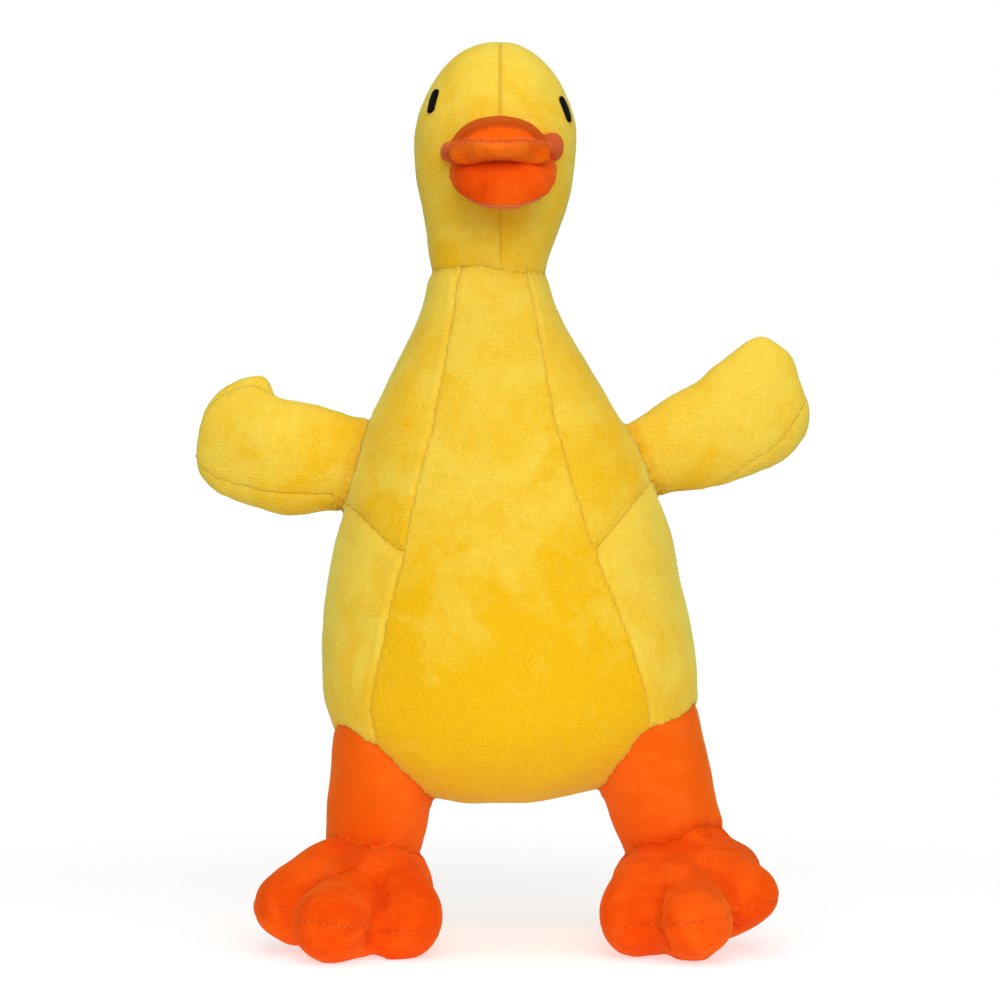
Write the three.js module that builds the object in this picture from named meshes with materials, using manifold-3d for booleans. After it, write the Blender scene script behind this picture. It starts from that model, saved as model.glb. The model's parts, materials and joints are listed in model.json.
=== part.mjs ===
// A plush duck, 32 cm tall, sewn from short-pile cloth and filled with polyester fibre.
// Millimetres, +Z up. The duck stands on its soles and faces -Y, so its own left side is +X.
// Every stuffed limb is a cover of sewn cloth panels round a loose filling.

import * as THREE from "three";
import Module from "manifold-3d";
import { mergeVertices } from "three/addons/utils/BufferGeometryUtils.js";

const wasm = await Module();
wasm.setup();

// Driving dimensions
const CLOTH = 2.2; // backing and pile together
const SEAM = 0.3; // what parts two panels, or a panel and its filling
const SLACK = 1.6; // how loosely a filling lies in its cover
const INSIDE_FACETS = 0.5; // an inside keeps this share of the outside's facets round and along
const NECK_Z = 240.5; // seam between torso and head
const SIDE_SEAM_Y = 14; // seam between the torso's front and back panels
const SOLE_FLAT = 0.5; // how deep the standing duck presses its soles flat
const FAR = 400; // beyond every surface of the duck

const YELLOW = 0xf2c31f;
const ORANGE = 0xf55a10;
const WHITE_FIBRE = 0xf4f2ea;
const BLACK_THREAD = 0x100e12;

const FORWARD = new THREE.Vector3(0, -1, 0);
const UPWARD = new THREE.Vector3(0, 0, 1);
const half = SEAM / 2;

// Where the rings of a stuffed form lie: the place along the spine, and how far the ring has opened.
// Between "from" and "to", the ends open roundly over the shares of the spine startRound and endRound.
function ringPlaces({ from = 0, to = 1, startRound = 0, endRound = 0, power = 2, rings, domeRings }) {
  const dome = (i) => {
    const turn = ((i / domeRings) * Math.PI) / 2;
    return { along: 1 - Math.cos(turn) ** (2 / power), open: Math.sin(turn) ** (2 / power) };
  };
  const places = [];
  for (let i = 1; startRound > 0 && i < domeRings; i++) {
    places.push({ t: from + startRound * dome(i).along, open: dome(i).open });
  }
  const straight = to - endRound - from - startRound;
  for (let i = 0; i <= rings; i++) {
    places.push({ t: from + startRound + (i / rings) * straight, open: 1 });
  }
  for (let i = domeRings - 1; endRound > 0 && i > 0; i--) {
    places.push({ t: to - endRound * dome(i).along, open: dome(i).open });
  }
  return places;
}

// A stuffed form: rounded sections strung along a spine through the stations, closed at both ends.
// A station is as wide as said to either side, and reaches front and back along the form's up direction.
function stuffedForm(form, share = 1) {
  const { stations, up = FORWARD, squareness = 2.2, from = 0, to = 1 } = form;
  const sides = 2 * Math.round((form.sides * share) / 2);
  const rings = Math.max(2, Math.round(form.rings * share));
  const domeRings = Math.max(2, Math.round(form.domeRings * share));
  const spine = new THREE.CatmullRomCurve3(
    stations.map((s) => new THREE.Vector3(s.x ?? 0, s.y ?? 0, s.z ?? 0)), false, "catmullrom");
  const sizes = new THREE.CatmullRomCurve3(
    stations.map((s) => new THREE.Vector3(s.wide, s.front, s.back)), false, "catmullrom");
  const rounded = (value) => Math.sign(value) * Math.abs(value) ** (2 / squareness);
  const points = [spine.getPoint(from)];
  for (const { t, open } of ringPlaces({ ...form, rings, domeRings })) {
    const along = spine.getTangent(t);
    const across = new THREE.Vector3().crossVectors(along, up).normalize();
    const raised = new THREE.Vector3().crossVectors(across, along).normalize();
    const size = sizes.getPoint(t);
    for (let j = 0; j < sides; j++) {
      const turn = (2 * Math.PI * j) / sides;
      const reach = Math.sin(turn) > 0 ? size.y : size.z;
      points.push(spine.getPoint(t)
        .addScaledVector(across, rounded(Math.cos(turn)) * size.x * open)
        .addScaledVector(raised, rounded(Math.sin(turn)) * reach * open));
    }
  }
  points.push(spine.getPoint(to));
  return closedSkin(points, sides);
}

// Joins rings of points, with one point at each end, into a closed surface that faces out.
function closedSkin(points, sides) {
  const last = points.length - 1;
  const ringCount = (points.length - 2) / sides;
  const at = (ring, side) => 1 + ring * sides + (side % sides);
  const index = [];
  for (let j = 0; j < sides; j++) {
    index.push(0, at(0, j), at(0, j + 1));
    index.push(last, at(ringCount - 1, j + 1), at(ringCount - 1, j));
    for (let i = 0; i < ringCount - 1; i++) {
      index.push(at(i, j), at(i + 1, j), at(i + 1, j + 1));
      index.push(at(i, j), at(i + 1, j + 1), at(i, j + 1));
    }
  }
  const skin = new THREE.BufferGeometry().setFromPoints(points);
  skin.setIndex(index);
  return skin;
}

// The same surface, let out by a distance, or taken in where the distance is negative.
function letOut(skin, distance) {
  const moved = skin.clone();
  moved.computeVertexNormals();
  const { position, normal } = moved.attributes;
  for (let i = 0; i < position.count; i++) {
    position.setXYZ(i,
      position.getX(i) + normal.getX(i) * distance,
      position.getY(i) + normal.getY(i) * distance,
      position.getZ(i) + normal.getZ(i) * distance);
  }
  return moved;
}

// A closed geometry as a solid that can be joined and cut.
function solid(geometry) {
  const bare = new THREE.BufferGeometry();
  bare.setAttribute("position", geometry.attributes.position);
  bare.setIndex(geometry.index);
  const merged = mergeVertices(bare, 1e-3);
  return new wasm.Manifold(new wasm.Mesh({
    numProp: 3,
    vertProperties: new Float32Array(merged.attributes.position.array),
    triVerts: new Uint32Array(merged.index.array),
  }));
}

// One or more forms joined, each let out by a distance.
function joined(forms, distance, share = 1) {
  return forms
    .map((form) => solid(letOut(stuffedForm(form, share), distance)))
    .reduce((all, next) => all.add(next));
}

const outside = (...forms) => joined(forms, 0);
const hollow = (...forms) => joined(forms, -CLOTH, INSIDE_FACETS);
const filling = (...forms) => joined(forms, -CLOTH - SLACK, INSIDE_FACETS);

const clearance = (...forms) => joined(forms, SEAM);

// A block between two corners.
function block(low, high) {
  const size = high.map((value, i) => value - low[i]);
  const box = new THREE.BoxGeometry(...size);
  box.translate(...low.map((value, i) => value + size[i] / 2));
  return solid(box);
}

const above = (z) => block([-FAR, -FAR, z], [FAR, FAR, FAR]);
const below = (z) => block([-FAR, -FAR, -FAR], [FAR, FAR, z]);
const inFrontOf = (y) => block([-FAR, -FAR, -FAR], [FAR, y, FAR]);
const behind = (y) => block([-FAR, y, -FAR], [FAR, FAR, FAR]);
const leftOf = (x) => block([x, -FAR, -FAR], [FAR, FAR, FAR]);
const rightOf = (x) => block([-FAR, -FAR, -FAR], [x, FAR, FAR]);

// An outline in the front view, as x and z, pushed through the whole duck.
function frontOutline(points) {
  const shape = new THREE.Shape(points.map(([x, z]) => new THREE.Vector2(x, z)));
  const geometry = new THREE.ExtrudeGeometry(shape, { depth: 2 * FAR, bevelEnabled: false });
  geometry.rotateX(Math.PI / 2);
  geometry.translate(0, FAR, 0);
  return solid(geometry);
}

// An outline in the side view, as y and z, pushed through the whole duck.
function sideOutline(points) {
  const shape = new THREE.Shape(points.map(([y, z]) => new THREE.Vector2(y, z)));
  const geometry = new THREE.ExtrudeGeometry(shape, { depth: 2 * FAR, bevelEnabled: false });
  geometry.rotateX(Math.PI / 2);
  geometry.rotateZ(Math.PI / 2);
  geometry.translate(-FAR, 0, 0);
  return solid(geometry);
}

// A mesh of the duck, named as the piece of cloth or fibre that it is.
function piece(name, shape, colour, roughness = 0.95) {
  const { vertProperties, triVerts } = shape.getMesh();
  const geometry = new THREE.BufferGeometry();
  geometry.setAttribute("position", new THREE.BufferAttribute(new Float32Array(vertProperties), 3));
  geometry.setIndex(new THREE.BufferAttribute(new Uint32Array(triVerts), 1));
  geometry.computeVertexNormals();
  const material = new THREE.MeshStandardMaterial({ color: colour, roughness, metalness: 0 });
  const mesh = new THREE.Mesh(geometry, material);
  mesh.name = name;
  return mesh;
}

// Torso: a pear of cloth, fullest low down, that leans a little to the duck's right as it rises.
const torso = {
  sides: 28, rings: 10, domeRings: 5, startRound: 1 / 7, power: 2.2, squareness: 2.3,
  stations: [
    { x: 4.8, z: 50.5, wide: 66, front: 47, back: 46 },
    { x: 2.1, z: 88, wide: 67.4, front: 50, back: 49 },
    { x: -0.4, z: 114, wide: 66, front: 50, back: 47 },
    { x: -1.1, z: 140, wide: 61.4, front: 47, back: 43 },
    { x: -2.8, z: 164, wide: 55, front: 42, back: 39 },
    { x: -4.8, z: 184, wide: 47, front: 37, back: 35 },
    { x: -5.3, z: 205, wide: 36, front: 30, back: 30 },
    { x: -6.2, z: 225, wide: 25.2, front: 22.5, back: 25 },
    { x: -6.4, z: 245, wide: 20.2, front: 19, back: 21 },
  ],
};
const torsoClear = clearance(torso);

// The two long seams beside the belly panel, seen from the front as x and z.
const BELLY_SEAMS = {
  right: [[-41.8, 50.5], [-47.6, 88], [-42.2, 114], [-35.9, 140], [-31.3, 164], [-25.9, 184], [-22.3, 205],
    [-18.9, 225], [-15.4, 245]],
  left: [[50.2, 50.5], [50, 88], [42, 114], [31.1, 140], [23.4, 164], [17.9, 184], [14.1, 205], [10.7, 225],
    [6.8, 245]],
};

// The seam that slants up from the belly panel to the foot of each wing.
const UNDER_WING_SEAMS = {
  right: { x: 36.1, z: 139.7, slope: 0.86 },
  left: { x: 30.9, z: 141.1, slope: 1.17 },
};

function torsoGroup() {
  const group = new THREE.Group();
  const shell = outside(torso).subtract(hollow(torso)).intersect(below(NECK_Z - half));
  const front = shell.intersect(inFrontOf(SIDE_SEAM_Y - half));
  const back = shell.intersect(behind(SIDE_SEAM_Y + half));
  const bellySeam = (name, shift) => [...BELLY_SEAMS[name].map(([x, z]) => [x + shift, z]), [0, FAR]];
  const belly = frontOutline([[0, 0], ...bellySeam("right", half), ...bellySeam("left", -half).reverse()]);
  group.add(piece("belly_panel", front.intersect(belly), YELLOW));
  for (const [name, side] of [["right", -1], ["left", 1]]) {
    const flank = frontOutline([[0, 0], ...bellySeam(name, side * half), [side * FAR, FAR], [side * FAR, 0]]);
    const seam = (x, shift) => {
      const rise = UNDER_WING_SEAMS[name].slope * (x - UNDER_WING_SEAMS[name].x);
      return [side * x, UNDER_WING_SEAMS[name].z + rise + shift];
    };
    const chest = frontOutline([seam(0, half), seam(2 * torso.stations[0].wide, half), [0, FAR]]);
    const hip = frontOutline([seam(0, -half), seam(FAR, -half), [side * FAR, 0], [0, 0]]);
    const ownSide = side < 0 ? rightOf(-half) : leftOf(half);
    group.add(piece(`chest_panel_${name}`, front.intersect(flank).intersect(chest), YELLOW));
    group.add(piece(`hip_panel_${name}`, front.intersect(flank).intersect(hip), YELLOW));
    group.add(piece(`back_panel_${name}`, back.intersect(ownSide), YELLOW));
  }
  const inside = filling({ ...torso, to: 0.97, endRound: 0.1 });
  group.add(piece("torso_filling", inside, WHITE_FIBRE));
  return group;
}

// Tail: a short stuffed point low on the back, of two panels sewn round the edge.
const tail = {
  sides: 12, rings: 3, domeRings: 4, endRound: 0.35, power: 1.8, squareness: 2.1, up: UPWARD,
  stations: [
    { x: 3, y: 34, z: 79, wide: 17, front: 11, back: 11 },
    { x: 3, y: 48, z: 84, wide: 15, front: 9, back: 9 },
    { x: 3, y: 59, z: 91, wide: 11, front: 6.5, back: 6.5 },
    { x: 3, y: 68, z: 100, wide: 7, front: 5, back: 5 },
  ],
};

function tailGroup() {
  const group = new THREE.Group();
  const shell = outside(tail).subtract(hollow(tail)).subtract(torsoClear);
  const seam = (rise) => tail.stations.map(({ y, z }) => [y, z + rise]);
  const top = sideOutline([[0, 70 + half], ...seam(half), [90, 120 + half], [90, FAR], [0, FAR]]);
  const underside = sideOutline([[0, 70 - half], ...seam(-half), [90, 120 - half], [90, 0], [0, 0]]);
  group.add(piece("tail_top", shell.intersect(top), YELLOW));
  group.add(piece("tail_underside", shell.intersect(underside), YELLOW));
  group.add(piece("tail_filling", filling(tail).subtract(torsoClear), WHITE_FIBRE));
  return group;
}

// Head and neck: an egg on a short neck, sewn from two halves that meet down the middle.
const HEAD_SEAM_X = -2.2;
const head = {
  sides: 24, rings: 7, domeRings: 6, endRound: 0.2, power: 1.95, squareness: 2.15,
  stations: [
    { x: -6.2, y: 0, z: 233, wide: 19.5, front: 18, back: 20 },
    { x: -6.1, y: 0, z: 245, wide: 21.2, front: 19.5, back: 21.5 },
    { x: -5.2, y: 0, z: 259, wide: 24.6, front: 21.5, back: 25 },
    { x: -4.3, y: 0, z: 272, wide: 27.9, front: 24.5, back: 30 },
    { x: -3.6, y: 1, z: 289, wide: 29.5, front: 27, back: 33 },
    { x: -2.9, y: 3, z: 324.7, wide: 29.3, front: 26.5, back: 32.5 },
  ],
};
const headClear = clearance(head);

// Eyes: a pad of black thread embroidered on each side of the head, its top leaning to the front.
const EYE = { halfWide: 3, halfTall: 4.7, thick: 1.1, lean: 0.2 };
const EYES = { right: { x: -26.2, z: 300.4 }, left: { x: 21.2, z: 297.6 } };

function headGroup() {
  const group = new THREE.Group();
  const shell = outside(head).subtract(hollow(head)).intersect(above(NECK_Z + half));
  group.add(piece("head_panel_right", shell.intersect(rightOf(HEAD_SEAM_X - half)), YELLOW));
  group.add(piece("head_panel_left", shell.intersect(leftOf(HEAD_SEAM_X + half)), YELLOW));
  const inside = filling({ ...head, from: 0.13, startRound: 0.25 });
  group.add(piece("head_filling", inside, WHITE_FIBRE));
  for (const [name, { x, z }] of Object.entries(EYES)) group.add(eye(name, x, z));
  return group;
}

// The crown is a dome over the widest station, so the eye's depth and slant follow from its x and z.
function eye(name, x, z) {
  const [widest, top] = head.stations.slice(-2);
  const high = (z - widest.z) / (top.z - widest.z);
  const open = Math.sqrt(1 - high ** 2);
  const out = (x - widest.x) / (widest.wide * open);
  const ahead = (1 - Math.abs(out) ** head.squareness) ** (1 / head.squareness);
  const outward = new THREE.Vector3(
    Math.sign(out) * Math.abs(out) ** (head.squareness - 1) / (widest.wide * open),
    -(ahead ** (head.squareness - 1)) / (widest.front * open),
    high / (open ** 2 * (top.z - widest.z)));
  const ball = new THREE.SphereGeometry(1, 12, 6).deleteAttribute("normal").deleteAttribute("uv");
  const pad = mergeVertices(ball);
  pad.scale(EYE.halfWide, EYE.halfTall, EYE.thick);
  pad.rotateZ(Math.sign(out) * EYE.lean);
  pad.applyMatrix4(new THREE.Matrix4().lookAt(outward, new THREE.Vector3(), UPWARD));
  pad.translate(x, widest.y - widest.front * open * ahead, z);
  return piece(`eye_${name}`, solid(pad).subtract(headClear), BLACK_THREAD, 0.6);
}

// Bill: two small stuffed flaps, each a top and a bottom panel sewn round the lip. The lower one droops.
const BILL_X = -2.6;
const billUpper = {
  sides: 16, rings: 3, domeRings: 4, endRound: 0.4, power: 2.3, squareness: 2, up: UPWARD,
  stations: [
    { x: BILL_X, y: -14, z: 284, wide: 16, front: 11.5, back: 7.5 },
    { x: BILL_X, y: -30, z: 283.5, wide: 17, front: 10.2, back: 7.5 },
    { x: BILL_X, y: -43, z: 283, wide: 16.5, front: 7.8, back: 7 },
    { x: BILL_X, y: -54, z: 282, wide: 14.5, front: 5.5, back: 6 },
  ],
};
const billLower = {
  sides: 16, rings: 3, domeRings: 4, endRound: 0.45, power: 2.2, squareness: 2.2, up: UPWARD,
  stations: [
    { x: BILL_X, y: -14, z: 278, wide: 16, front: 6, back: 5.5 },
    { x: BILL_X, y: -26, z: 273.5, wide: 18.5, front: 6.5, back: 6 },
    { x: BILL_X, y: -37, z: 267, wide: 17.5, front: 6.5, back: 6 },
    { x: BILL_X, y: -46, z: 260.5, wide: 13.5, front: 5.5, back: 5.5 },
  ],
};

// The top panel's corners puff out at the corners of the mouth, the left one more than the right.
const billCorners = [
  { x: -20, y: -24, z: 281.5, wide: 3.6, tall: 4, deep: 6 },
  { x: 16.2, y: -24.5, z: 283.2, wide: 4.6, tall: 5.6, deep: 6 },
].map(({ x, y, z, wide, tall, deep }) => ({
  sides: 10, rings: 2, domeRings: 3, startRound: 0.45, endRound: 0.45, up: UPWARD,
  stations: [
    { x, y: y + deep, z, wide, front: tall, back: tall },
    { x, y: y - deep, z, wide, front: tall, back: tall },
  ],
}));

function billGroup() {
  const group = new THREE.Group();
  const cornerClear = clearance(...billCorners);
  const upperClear = clearance(billUpper).add(cornerClear);
  const flaps = [
    { name: "upper", panels: ["top", "lining"], form: billUpper, taken: headClear },
    { name: "lower", panels: ["lining", "underside"], form: billLower, taken: headClear.add(upperClear) },
  ];
  for (const { name, panels, form, taken } of flaps) {
    const shell = outside(form).subtract(hollow(form)).subtract(taken);
    const lip = (rise) => form.stations.map(({ y, z }) => [y, z + rise]);
    const tip = form.stations.at(-1);
    const over = sideOutline([[0, FAR], [0, tip.z + 40], ...lip(half), [-100, tip.z + half], [-100, FAR]]);
    const under = sideOutline([[0, 0], [0, tip.z + 40], ...lip(-half), [-100, tip.z - half], [-100, 0]]);
    const upper = shell.intersect(over);
    const corners = outside(...billCorners).subtract(hollow(form)).subtract(taken);
    group.add(piece(`bill_${name}_${panels[0]}`, form === billUpper ? upper.add(corners) : upper, ORANGE));
    group.add(piece(`bill_${name}_${panels[1]}`, shell.intersect(under).subtract(cornerClear), ORANGE));
    group.add(piece(`bill_${name}_filling`, filling(form).subtract(taken), WHITE_FIBRE));
  }
  return group;
}

// Wings: flat stuffed paddles, each a front and a back panel sewn round the edge.
const wings = {
  left: {
    sides: 16, rings: 6, domeRings: 5, endRound: 0.26, power: 2.5, squareness: 2.1,
    stations: [
      { x: 44, y: 2, z: 172, wide: 13, front: 9, back: 9 },
      { x: 54, y: 2, z: 176, wide: 14.8, front: 11, back: 11 },
      { x: 65.5, y: 1, z: 180.5, wide: 17.3, front: 13, back: 13 },
      { x: 78.5, y: 0, z: 185.2, wide: 19.8, front: 13.5, back: 13.5 },
      { x: 90, y: 0, z: 192.2, wide: 23.8, front: 12.5, back: 12.5 },
      { x: 105, y: 0, z: 202.5, wide: 25.5, front: 10, back: 10 },
    ],
  },
  right: {
    sides: 16, rings: 6, domeRings: 5, endRound: 0.3, power: 2.4, squareness: 2.1,
    stations: [
      { x: -44, y: 2, z: 173, wide: 14.5, front: 9, back: 9 },
      { x: -54, y: 2, z: 173, wide: 16.5, front: 11, back: 11 },
      { x: -68, y: 1, z: 173.6, wide: 19.2, front: 13, back: 13 },
      { x: -86, y: 0, z: 176, wide: 21.6, front: 13, back: 13 },
      { x: -111.8, y: 2, z: 183, wide: 24, front: 10, back: 10 },
    ],
  },
};

// The upper corner of the right wing's end has curled over to the back.
const curledCorner = {
  sides: 12, rings: 2, domeRings: 3, startRound: 0.2, endRound: 0.3, power: 2.2, squareness: 2,
  stations: [
    { x: -105, y: 3, z: 183, wide: 7.5, front: 7, back: 7 },
    { x: -97, y: 5, z: 193.5, wide: 9, front: 7, back: 7 },
    { x: -84, y: 7, z: 199.5, wide: 7, front: 6, back: 6 },
  ],
};

function wingGroup(name) {
  const group = new THREE.Group();
  const wing = wings[name];
  const forms = name === "right" ? [wing, curledCorner] : [wing];
  const shell = outside(...forms).subtract(hollow(...forms)).subtract(torsoClear);
  group.add(piece(`wing_front_${name}`, shell.intersect(inFrontOf(-half)), YELLOW));
  group.add(piece(`wing_back_${name}`, shell.intersect(behind(half)), YELLOW));
  const inside = filling({ ...wing, from: 0.28, startRound: 0.25 });
  group.add(piece(`wing_filling_${name}`, inside, WHITE_FIBRE));
  return group;
}

// Feet: an instep and three plump toes in one upper, closed by a sole that turns up round the toes.
// Each foot points out by its splay, its toes fan out from there by their turns, the inner toe first.
// It lies rolled a little, so that its outer toe lifts.
const TOES = [
  { reach: 57, wide: 13, knuckle: 17.5, tall: 12, deep: 14.5, round: 0.4, blunt: 2.1 },
  { reach: 67, wide: 14.5, knuckle: 17.5, tall: 12.5, deep: 14.5, round: 0.26, blunt: 2.8 },
  { reach: 53, wide: 13, knuckle: 21, tall: 10.5, deep: 12, round: 0.4, blunt: 2.1 },
];
const SOLE_SEAM = { z: 13, slope: 0.15 };
const feet = {
  left: { side: 1, x: 59.2, splay: 0.1, turns: [-0.46, 0, 0.53], roll: 0.36 },
  right: { side: -1, x: -48, splay: 0.23, turns: [-0.57, 0, 0.55], roll: 0.13 },
};

function footForms({ side, x, splay, turns, roll }) {
  const up = new THREE.Vector3(-side * Math.sin(roll), 0, Math.cos(roll));
  const ahead = (distance, height, turn = 0) => {
    const aside = distance * Math.sin(splay + turn);
    const lift = 1.5 * roll * Math.max(0, aside - 12);
    return { x: x + side * aside, y: -distance * Math.cos(splay + turn), z: height + lift };
  };
  const instep = {
    sides: 16, rings: 3, domeRings: 3, startRound: 0.3, endRound: 0.3, power: 2.3, squareness: 2.3, up,
    stations: [
      { ...ahead(-25, 17.5), wide: 16, front: 16, back: 17.5 },
      { ...ahead(-4, 18.5), wide: 21.5, front: 20.5, back: 18.5 },
      { ...ahead(16, 18.5), wide: 24, front: 17.5, back: 18.5 },
      { ...ahead(42, 13.5), wide: 21, front: 12, back: 13.5 },
    ],
  };
  const toes = TOES.map(({ reach, wide, knuckle, tall, deep, round, blunt }, i) => ({
    sides: 12, rings: 2, domeRings: 4, endRound: round, power: blunt, squareness: 2.1, up,
    stations: [
      { ...ahead(6, 20, turns[i]), wide: wide * 0.85, front: 18, back: 14 },
      { ...ahead(24, 18, turns[i]), wide: wide * 0.95, front: knuckle, back: 17.5 },
      { ...ahead(42, 14.2, turns[i]), wide, front: tall + 2.5, back: deep },
      { ...ahead(reach, 14, turns[i]), wide: wide * 0.95, front: tall, back: deep },
    ],
  }));
  return [instep, ...toes];
}

// Legs: plain stuffed tubes, each sewn to a lower corner of the torso and into the instep of a foot.
const legs = {
  left: {
    sides: 18, rings: 4, domeRings: 4, squareness: 2.1,
    stations: [
      { x: 48, y: -8, z: 80, wide: 21, front: 25, back: 18 },
      { x: 54.8, y: -5, z: 55, wide: 20, front: 22.5, back: 18.5 },
      { x: 59.2, y: 0, z: 38.5, wide: 18.7, front: 18, back: 17.5 },
      { x: 60, y: 0, z: 26, wide: 16, front: 15, back: 15 },
    ],
  },
  right: {
    sides: 18, rings: 4, domeRings: 4, squareness: 2.1,
    stations: [
      { x: -41, y: -8, z: 82, wide: 20.3, front: 25, back: 18 },
      { x: -44.6, y: -5, z: 56, wide: 19, front: 22.5, back: 18.5 },
      { x: -47.4, y: 0, z: 38.5, wide: 18, front: 18, back: 17.5 },
      { x: -47.5, y: 0, z: 26, wide: 16, front: 15, back: 15 },
    ],
  },
};

function legAndFootGroup(name) {
  const group = new THREE.Group();
  const leg = legs[name];
  const { side, x } = feet[name];
  const foot = footForms(feet[name]);
  const sleeve = outside(leg).subtract(hollow(leg)).subtract(torsoClear).subtract(clearance(...foot));
  group.add(piece(`leg_sleeve_${name}`, sleeve, ORANGE));
  const inside = filling({ ...leg, from: 0.28, to: 0.68, startRound: 0.2, endRound: 0.12 });
  group.add(piece(`leg_filling_${name}`, inside, WHITE_FIBRE));
  const shell = outside(...foot).intersect(above(SOLE_FLAT))
    .subtract(hollow(...foot).intersect(above(SOLE_FLAT + CLOTH)))
    .subtract(hollow(leg));
  const rise = side * SOLE_SEAM.slope * FAR;
  const seam = (shift) => [[x - FAR, SOLE_SEAM.z - rise + shift], [x + FAR, SOLE_SEAM.z + rise + shift]];
  const overSeam = frontOutline([...seam(half), [x + FAR, FAR], [x - FAR, FAR]]);
  const underSeam = frontOutline([...seam(-half), [x + FAR, -FAR], [x - FAR, -FAR]]);
  group.add(piece(`foot_upper_${name}`, shell.intersect(overSeam), ORANGE));
  group.add(piece(`foot_sole_${name}`, shell.intersect(underSeam), ORANGE));
  const stuffing = filling(...foot).intersect(above(SOLE_FLAT + CLOTH + SEAM));
  group.add(piece(`foot_filling_${name}`, stuffing, WHITE_FIBRE));
  return group;
}

const duck = new THREE.Group();
duck.add(torsoGroup(), tailGroup(), headGroup(), billGroup());
for (const name of ["left", "right"]) duck.add(wingGroup(name), legAndFootGroup(name));

// The origin is the middle of the duck's box, at floor level.
const box = new THREE.Box3().setFromObject(duck);
const middle = box.getCenter(new THREE.Vector3());
duck.position.set(-middle.x, -middle.y, -box.min.z);

export default duck;
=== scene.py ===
import json
import math
import random

import bmesh
import bpy
import numpy as np
from mathutils import Matrix, Vector, kdtree, noise
from mathutils.bvhtree import BVHTree

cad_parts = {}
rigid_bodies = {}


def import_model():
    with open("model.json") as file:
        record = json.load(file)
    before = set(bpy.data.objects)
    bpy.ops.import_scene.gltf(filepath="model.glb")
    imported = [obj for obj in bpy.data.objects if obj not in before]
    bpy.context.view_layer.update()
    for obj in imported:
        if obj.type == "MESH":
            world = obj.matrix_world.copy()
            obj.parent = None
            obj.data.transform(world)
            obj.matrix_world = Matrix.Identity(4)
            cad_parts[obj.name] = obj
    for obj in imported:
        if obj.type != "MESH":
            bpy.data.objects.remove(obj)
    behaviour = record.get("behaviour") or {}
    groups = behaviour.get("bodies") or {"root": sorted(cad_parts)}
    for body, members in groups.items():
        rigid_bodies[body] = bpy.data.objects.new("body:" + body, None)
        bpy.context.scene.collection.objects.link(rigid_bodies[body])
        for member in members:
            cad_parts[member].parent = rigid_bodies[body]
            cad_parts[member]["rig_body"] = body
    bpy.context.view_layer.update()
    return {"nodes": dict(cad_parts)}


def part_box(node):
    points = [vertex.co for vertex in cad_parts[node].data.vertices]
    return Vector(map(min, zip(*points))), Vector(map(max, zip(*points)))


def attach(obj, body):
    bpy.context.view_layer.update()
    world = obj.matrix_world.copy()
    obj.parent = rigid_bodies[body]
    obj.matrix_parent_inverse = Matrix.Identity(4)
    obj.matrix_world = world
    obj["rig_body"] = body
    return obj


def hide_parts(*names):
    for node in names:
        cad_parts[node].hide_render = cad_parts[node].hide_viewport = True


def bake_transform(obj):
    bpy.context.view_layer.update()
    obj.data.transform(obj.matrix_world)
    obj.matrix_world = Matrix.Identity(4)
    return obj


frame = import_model()

# ---- Studio: a white paper floor that fades into a white background, a camera level with the belly, and
# four broad soft lights: one in front, one at each side and one above.
camera = bpy.data.objects.new("camera", bpy.data.cameras.new("camera"))
bpy.context.collection.objects.link(camera)
camera.location = (-0.0013, -1.15, 0.1586)
camera.rotation_euler = (math.radians(90), 0, 0)
camera.data.sensor_width = 36
camera.data.lens = 115
bpy.context.scene.camera = camera
bpy.context.scene.view_settings.view_transform = "Standard"


def added(tree, kind, settings=None, values=None):
    """A shader node with its settings and the values of its inputs."""
    node = tree.nodes.new("ShaderNode" + kind)
    for name, value in (settings or {}).items():
        setattr(node, name, value)
    for name, value in (values or {}).items():
        if isinstance(value, bpy.types.NodeSocket):
            tree.links.new(value, node.inputs[name])
        else:
            node.inputs[name].default_value = value
    return node


def ranged(tree, value, low, high, to_low=0.0, to_high=1.0):
    """A value brought from one range to another, softly and within it."""
    return added(tree, "MapRange", {"interpolation_type": "SMOOTHSTEP"}, {
        "Value": value, "From Min": low, "From Max": high, "To Min": to_low,
        "To Max": to_high}).outputs["Result"]


WHITE, AMBIENT, BACKGROUND = (1, 1, 1, 1), 0.31, 1
world = bpy.data.worlds.new("studio")
world.use_nodes = True
bpy.context.scene.world = world
tree = world.node_tree
tree.nodes.clear()
ray = added(tree, "LightPath").outputs
direct = added(tree, "Math", {"operation": "ADD", "use_clamp": True}, {
    0: ray["Is Camera Ray"], 1: ray["Is Glossy Ray"]}).outputs[0]
shown = added(tree, "Math", {"operation": "ADD", "use_clamp": True}, {
    0: direct, 1: ray["Is Transmission Ray"]}).outputs[0]
ambient = added(tree, "Background", None, {"Color": WHITE, "Strength": AMBIENT}).outputs[0]
backdrop = added(tree, "Background", None, {"Color": WHITE, "Strength": BACKGROUND}).outputs[0]
either = added(tree, "MixShader", None, {0: shown, 1: ambient, 2: backdrop}).outputs[0]
added(tree, "OutputWorld", None, {"Surface": either})

BELLY = Vector((0, 0, 0.17))
for name, place, size, power in (
    ("light_front", (0.1, -1.5, 1.0), 1.0, 14.3),
    ("light_left", (-0.95, -1.1, 0.6), 0.9, 2.6),
    ("light_right", (0.95, -1.1, 0.6), 0.9, 4.2),
    ("light_top", (0, -0.1, 1.4), 1.0, 3.5),
):
    light = bpy.data.objects.new(name, bpy.data.lights.new(name, "AREA"))
    light.data.size = size
    light.data.energy = power
    light.location = place
    light.rotation_euler = (BELLY - light.location).to_track_quat("-Z", "Y").to_euler()
    bpy.context.collection.objects.link(light)

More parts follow.
